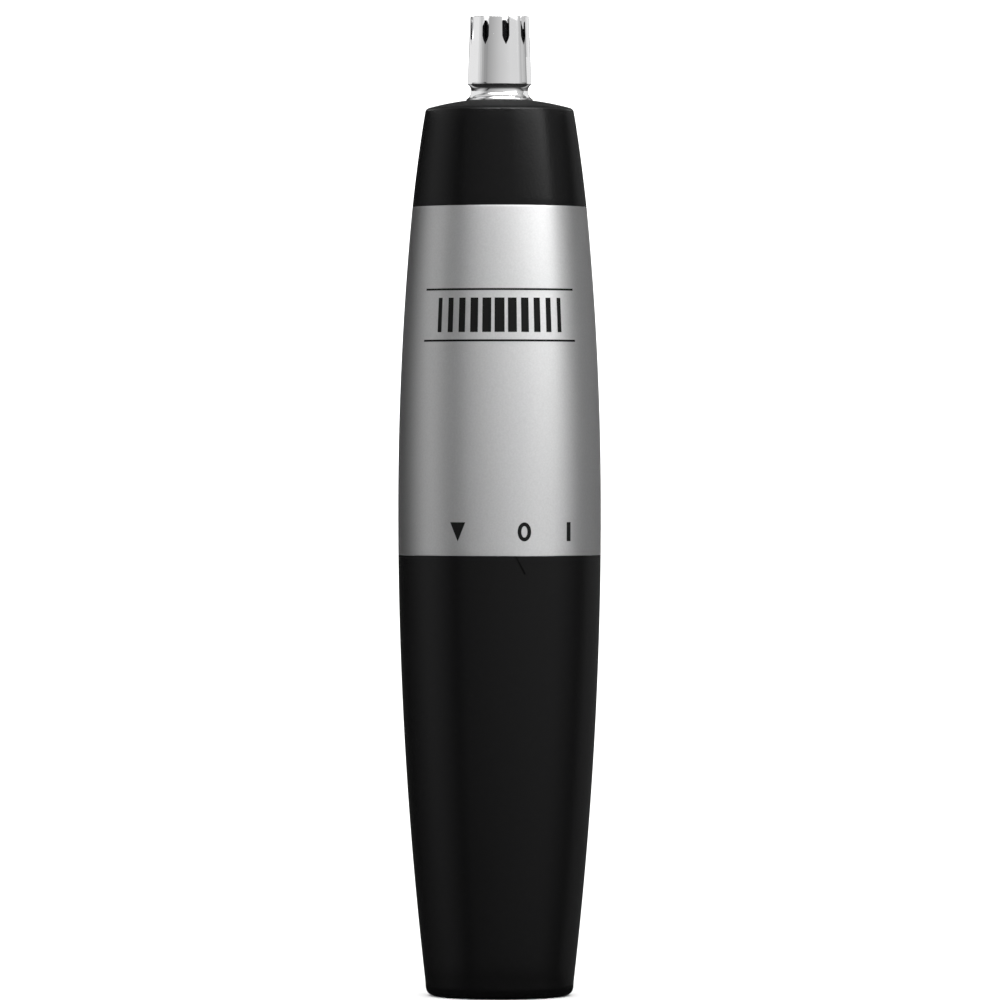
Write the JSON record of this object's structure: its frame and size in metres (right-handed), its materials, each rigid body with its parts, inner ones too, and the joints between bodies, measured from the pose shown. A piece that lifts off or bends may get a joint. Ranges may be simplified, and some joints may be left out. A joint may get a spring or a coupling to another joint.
{
  "type": "nose hair trimmer",
  "caption": "Battery-powered nose hair trimmer with a barrel-shaped body, a slotted metal guard round a spinning blade, a twist-switch battery cover and a removable head.",
  "frame": {"origin": "centre of the flat base of the battery cover, which the trimmer stands on", "axes": "+Z along the trimmer's axis towards the cutting guard, -Y the front with the printed switch marks, +X to the right seen from the front"},
  "size_m": [0.028, 0.028, 0.135],
  "materials": {
    "black_shell": "satin black moulded plastic",
    "silver_shell": "satin metallic silver paint on plastic",
    "guard_chrome": "polished chrome plating",
    "blade_steel": "ground hardened steel",
    "steel": "bright steel",
    "spring_steel": "nickel-plated spring wire",
    "contact_brass": "bright nickel-brass sheet",
    "copper": "copper",
    "grey_plastic": "dark grey moulded plastic",
    "white_plastic": "natural acetal",
    "magnet": "sintered ferrite",
    "seal_rubber": "black nitrile rubber",
    "battery_wrap": "printed film over a steel can"
  },
  "bodies": {
    "cover": {"battery_cover": "black_shell", "negative_spring": "spring_steel", "contact_strip": "contact_brass"},
    "cover_seal": {"cover_seal": "seal_rubber"},
    "battery": {"battery_cell": "battery_wrap", "battery_cap": "steel"},
    "housing": {"housing_shell": "silver_shell", "motor_chassis": "grey_plastic", "positive_contact": "contact_brass", "switch_contact": "contact_brass", "motor_can": "steel", "motor_end_cap": "white_plastic", "motor_magnet_right": "magnet", "motor_magnet_left": "magnet", "motor_brush_right": "copper", "motor_brush_left": "copper", "motor_bearing_top": "contact_brass", "motor_bearing_bottom": "contact_brass", "motor_screw_front": "steel", "motor_screw_back": "steel", "shaft_seal": "seal_rubber"},
    "rotor": {"motor_shaft": "steel", "armature_core": "steel", "armature_winding_1": "copper", "armature_winding_2": "copper", "armature_winding_3": "copper", "commutator": "copper", "drive_dog": "white_plastic"},
    "head_seal": {"head_seal": "seal_rubber"},
    "head": {"head_cap": "black_shell", "cutting_guard": "guard_chrome", "guard_retainer": "steel", "cutter_bush": "white_plastic"},
    "cutter": {"rotary_blade": "blade_steel", "cutter_spindle": "steel", "cutter_spring": "spring_steel", "spindle_clip": "steel", "cutter_dog": "white_plastic"}
  },
  "joints": [
    {"name": "motor_spin", "type": "hinge", "parent": "housing", "child": "rotor", "pos_m": [0, 0, 0.08], "axis": [0, 0, 1], "continuous": true},
    {"name": "cover_twist", "type": "hinge", "parent": "cover_seal", "child": "housing", "pos_m": [0, 0, 0.0509], "axis": [0, 0, 1], "range_deg": [-28.4, 38.1]},
    {"name": "cover_pull", "type": "slide", "parent": "cover", "child": "cover_seal", "axis": [0, 0, 1], "range_m": [0, 0.12]},
    {"name": "battery_draw", "type": "slide", "parent": "cover", "child": "battery", "axis": [0, 0, 1], "range_m": [0, 0.06]},
    {"name": "head_twist", "type": "hinge", "parent": "housing", "child": "head_seal", "pos_m": [0, 0, 0.113], "axis": [0, 0, 1], "range_deg": [0, 25]},
    {"name": "head_lift", "type": "slide", "parent": "head_seal", "child": "head", "axis": [0, 0, 1], "range_m": [0, 0.036]},
    {"name": "cutter_spin", "type": "hinge", "parent": "head", "child": "cutter", "pos_m": [0, 0, 0.12], "axis": [0, 0, 1], "continuous": true}
  ],
  "couplings": [
    {"joint": "battery_draw", "follows": "cover_pull", "ratio": 0.5},
    {"joint": "cutter_spin", "follows": "motor_spin", "ratio": 1}
  ]
}
